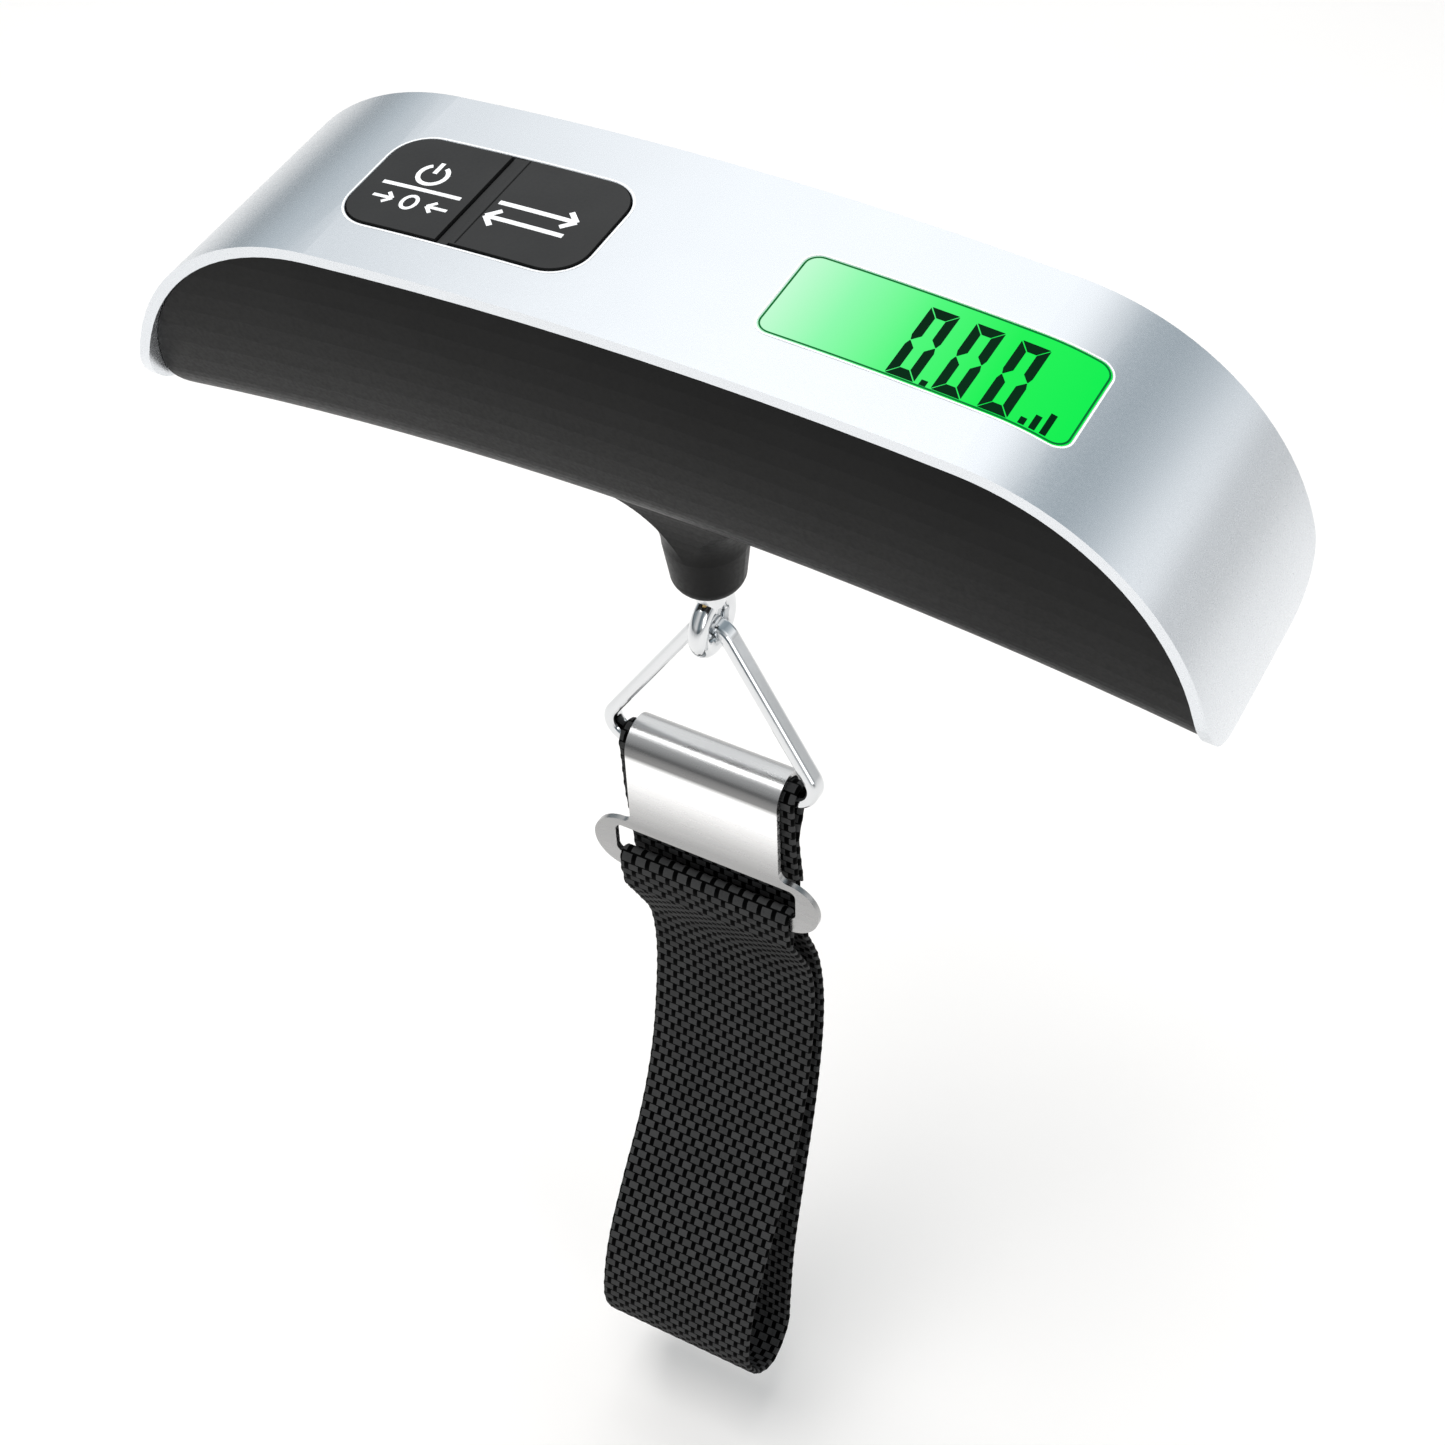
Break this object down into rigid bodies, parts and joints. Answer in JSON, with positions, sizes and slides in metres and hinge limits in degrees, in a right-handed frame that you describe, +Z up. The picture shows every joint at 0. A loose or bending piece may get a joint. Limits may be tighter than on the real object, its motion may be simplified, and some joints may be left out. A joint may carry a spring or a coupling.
{
  "type": "digital luggage scale",
  "caption": "T-shaped hand scale with a lit display and two keys, a swivelling eye and wire ring, and a webbing strap whose end hooks back over the ring.",
  "frame": {"origin": "middle of the cover's top surface, where the hand's grip lifts the scale", "axes": "+X along the handle towards the display, -Y the front where the hook plate hangs, +Z up"},
  "size_m": [0.15, 0.0463, 0.2226],
  "materials": {
    "cover_silver": "satin",
    "tape": "matt adhesive film",
    "inner_plastic": "matt moulding",
    "screw_steel": "zinc plated",
    "black_plastic": "fine satin moulding",
    "lens": "clear, backlit green",
    "lcd": "gloss",
    "diffuser": "matt",
    "pin_gold": "plated",
    "board_green": "solder mask",
    "chip": "epoxy",
    "key_plastic": "satin",
    "cell_alloy": "milled",
    "gauge_film": "film",
    "wire_red": "insulation",
    "bush_brass": "turned",
    "bright_chrome": "polished",
    "cell_steel": "plated",
    "plate_steel": "fine brushed",
    "webbing": "woven polypropylene",
    "thread": "thread"
  },
  "bodies": {
    "handle": {"top_cover": "cover_silver", "cover_tape": "tape", "deck": "inner_plastic", "deck_screws": "screw_steel", "housing": "black_plastic", "display_window": "lens", "lcd_glass": "lcd", "lcd_backlight": "diffuser", "lcd_pins": "pin_gold", "circuit_board": "board_green", "controller_chip": "chip", "board_screws": "screw_steel", "key_switches": "inner_plastic", "key_frame": "key_plastic", "load_cell": "cell_alloy", "strain_gauges": "gauge_film", "gauge_wires": "wire_red", "load_cell_screws": "screw_steel", "stem_bush": "bush_brass", "cell_holder": "inner_plastic", "coin_cell": "cell_steel", "contact_positive": "pin_gold", "contact_negative": "pin_gold"},
    "power_key": {"key_power": "key_plastic", "plunger_power": "pin_gold"},
    "unit_key": {"key_unit": "key_plastic", "plunger_unit": "pin_gold"},
    "door": {"battery_door": "black_plastic"},
    "eye": {"eye_bolt": "bright_chrome", "thrust_washer": "screw_steel", "lock_nut": "screw_steel"},
    "ring": {"triangle_ring": "bright_chrome"},
    "strap": {"strap_bar_loop": "webbing", "strap_rear_run": "webbing", "strap_bottom_bend": "webbing", "strap_front_run": "webbing", "rear_stitching": "thread"},
    "hook": {"hook_plate": "plate_steel", "strap_slot_loop": "webbing", "front_stitching": "thread"}
  },
  "joints": [
    {"name": "power_key_press", "type": "slide", "parent": "handle", "child": "power_key", "axis": [0, 0, -1], "range_m": [0, 0.0006], "stiffness_N_per_m": 400},
    {"name": "unit_key_press", "type": "slide", "parent": "handle", "child": "unit_key", "axis": [0, 0, -1], "range_m": [0, 0.0006], "stiffness_N_per_m": 400},
    {"name": "battery_door_pull", "type": "slide", "parent": "handle", "child": "door", "axis": [0, 1, 0], "range_m": [0, 0.012]},
    {"name": "eye_swivel", "type": "hinge", "parent": "handle", "child": "eye", "pos_m": [0, 0, -0.05], "axis": [0, 0, 1], "continuous": true},
    {"name": "ring_swing", "type": "hinge", "parent": "eye", "child": "ring", "pos_m": [0, 0, -0.0624], "axis": [1, 0, 0], "range_deg": [-60, 60]},
    {"name": "strap_swing", "type": "hinge", "parent": "ring", "child": "strap", "pos_m": [0, -0.00277, -0.08876], "axis": [1, 0, 0], "range_deg": [-40, 40]},
    {"name": "hook_swing", "type": "hinge", "parent": "strap", "child": "hook", "pos_m": [0, -0.00277, -0.08876], "axis": [-1, 0, 0], "range_deg": [0, 35]}
  ]
}
